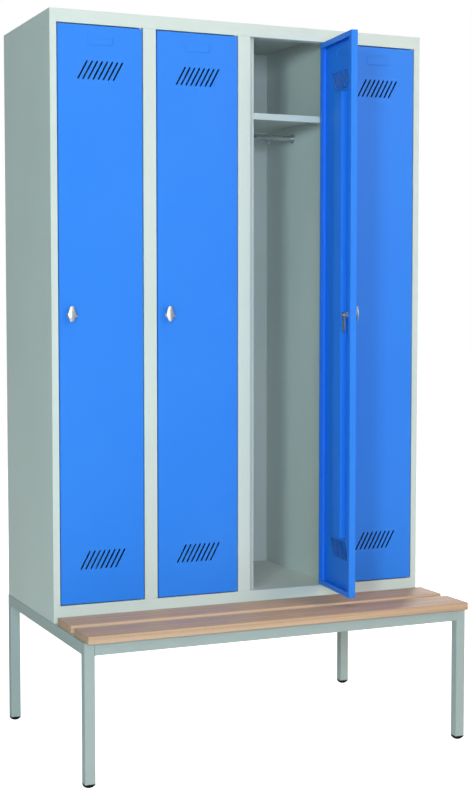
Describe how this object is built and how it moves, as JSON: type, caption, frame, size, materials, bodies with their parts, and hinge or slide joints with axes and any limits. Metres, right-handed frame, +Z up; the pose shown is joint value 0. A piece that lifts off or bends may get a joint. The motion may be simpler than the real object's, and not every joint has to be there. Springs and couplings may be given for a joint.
{
  "type": "locker with bench",
  "caption": "Steel locker cabinet with tall hinged doors, hat shelves and coat rails, standing on a tube frame that reaches forward as a slatted wooden bench.",
  "frame": {"origin": "on the floor, in the middle of the footprint", "axes": "+X to the right, +Y to the rear, +Z up; the doors and the bench face -Y"},
  "size_m": [1.204, 0.802, 2.15],
  "materials": {
    "carcass_paint": "fine textured light grey powder coat",
    "frame_paint": "light grey powder coat",
    "door_paint": "satin blue powder coat",
    "beech": "clear lacquered beech",
    "foot_plastic": "matte black",
    "latch_chrome": "polished chrome",
    "zinc_steel": "bright zinc plated"
  },
  "bodies": {
    "cabinet": {"left_side_panel": "carcass_paint", "right_side_panel": "carcass_paint", "partition_1": "carcass_paint", "partition_2": "carcass_paint", "partition_3": "carcass_paint", "top_panel": "carcass_paint", "floor_panel": "carcass_paint", "back_panel": "carcass_paint", "hinge_pins": "zinc_steel", "front_beam": "frame_paint", "cabinet_beam": "frame_paint", "rear_beam": "frame_paint", "left_beam": "frame_paint", "right_beam": "frame_paint", "middle_beam": "frame_paint", "front_left_leg": "frame_paint", "front_right_leg": "frame_paint", "rear_left_leg": "frame_paint", "rear_right_leg": "frame_paint", "leg_caps": "foot_plastic", "front_slat": "beech", "rear_slat": "beech", "slat_screws": "zinc_steel", "frame_bolts": "zinc_steel", "hat_shelf_1": "carcass_paint", "hat_shelf_2": "carcass_paint", "hat_shelf_3": "carcass_paint", "hat_shelf_4": "carcass_paint", "coat_rail_1": "zinc_steel", "coat_rail_2": "zinc_steel", "coat_rail_3": "zinc_steel", "coat_rail_4": "zinc_steel"},
    "door_1": {"door_panel_1": "door_paint", "door_stiffener_1": "door_paint", "lock_housing_1": "latch_chrome"},
    "latch_1": {"latch_knob_1": "latch_chrome", "latch_cam_1": "zinc_steel"},
    "hook_1_left": {"coat_hook_1_left": "zinc_steel"},
    "hook_1_right": {"coat_hook_1_right": "zinc_steel"},
    "door_2": {"door_panel_2": "door_paint", "door_stiffener_2": "door_paint", "lock_housing_2": "latch_chrome"},
    "latch_2": {"latch_knob_2": "latch_chrome", "latch_cam_2": "zinc_steel"},
    "hook_2_left": {"coat_hook_2_left": "zinc_steel"},
    "hook_2_right": {"coat_hook_2_right": "zinc_steel"},
    "door_3": {"door_panel_3": "door_paint", "door_stiffener_3": "door_paint", "lock_housing_3": "latch_chrome"},
    "latch_3": {"latch_knob_3": "latch_chrome", "latch_cam_3": "zinc_steel"},
    "hook_3_left": {"coat_hook_3_left": "zinc_steel"},
    "hook_3_right": {"coat_hook_3_right": "zinc_steel"},
    "door_4": {"door_panel_4": "door_paint", "door_stiffener_4": "door_paint", "lock_housing_4": "latch_chrome"},
    "latch_4": {"latch_knob_4": "latch_chrome", "latch_cam_4": "zinc_steel"},
    "hook_4_left": {"coat_hook_4_left": "zinc_steel"},
    "hook_4_right": {"coat_hook_4_right": "zinc_steel"}
  },
  "joints": [
    {"name": "door_1_hinge", "type": "hinge", "parent": "cabinet", "child": "door_1", "pos_m": [-0.328, -0.084, 1.28], "axis": [0, 0, 1], "range_deg": [0, 110]},
    {"name": "latch_1_turn", "type": "hinge", "parent": "door_1", "child": "latch_1", "pos_m": [-0.5435, -0.089, 1.287], "axis": [0, 1, 0], "range_deg": [0, 90]},
    {"name": "hook_1_left_slide", "type": "slide", "parent": "cabinet", "child": "hook_1_left", "axis": [1, 0, 0], "range_m": [-0.133, 0.02535]},
    {"name": "hook_1_right_slide", "type": "slide", "parent": "cabinet", "child": "hook_1_right", "axis": [1, 0, 0], "range_m": [-0.02535, 0.0805]},
    {"name": "door_2_hinge", "type": "hinge", "parent": "cabinet", "child": "door_2", "pos_m": [-0.028, -0.084, 1.28], "axis": [0, 0, 1], "range_deg": [0, 110]},
    {"name": "latch_2_turn", "type": "hinge", "parent": "door_2", "child": "latch_2", "pos_m": [-0.2435, -0.089, 1.287], "axis": [0, 1, 0], "range_deg": [0, 90]},
    {"name": "hook_2_left_slide", "type": "slide", "parent": "cabinet", "child": "hook_2_left", "axis": [1, 0, 0], "range_m": [-0.1335, 0.02535]},
    {"name": "hook_2_right_slide", "type": "slide", "parent": "cabinet", "child": "hook_2_right", "axis": [1, 0, 0], "range_m": [-0.02535, 0.0805]},
    {"name": "door_3_hinge", "type": "hinge", "parent": "cabinet", "child": "door_3", "pos_m": [0.272, -0.084, 1.28], "axis": [0, 0, 1], "range_deg": [-84, 26]},
    {"name": "latch_3_turn", "type": "hinge", "parent": "door_3", "child": "latch_3", "pos_m": [0.25445, -0.29884, 1.287], "axis": [-0.9945, 0.1045, 0], "range_deg": [0, 90]},
    {"name": "hook_3_left_slide", "type": "slide", "parent": "cabinet", "child": "hook_3_left", "axis": [1, 0, 0], "range_m": [-0.1335, 0.02535]},
    {"name": "hook_3_right_slide", "type": "slide", "parent": "cabinet", "child": "hook_3_right", "axis": [1, 0, 0], "range_m": [-0.02535, 0.0805]},
    {"name": "door_4_hinge", "type": "hinge", "parent": "cabinet", "child": "door_4", "pos_m": [0.572, -0.084, 1.28], "axis": [0, 0, 1], "range_deg": [0, 110]},
    {"name": "latch_4_turn", "type": "hinge", "parent": "door_4", "child": "latch_4", "pos_m": [0.3565, -0.089, 1.287], "axis": [0, 1, 0], "range_deg": [0, 90]},
    {"name": "hook_4_left_slide", "type": "slide", "parent": "cabinet", "child": "hook_4_left", "axis": [1, 0, 0], "range_m": [-0.1335, 0.02535]},
    {"name": "hook_4_right_slide", "type": "slide", "parent": "cabinet", "child": "hook_4_right", "axis": [1, 0, 0], "range_m": [-0.02535, 0.08]}
  ]
}
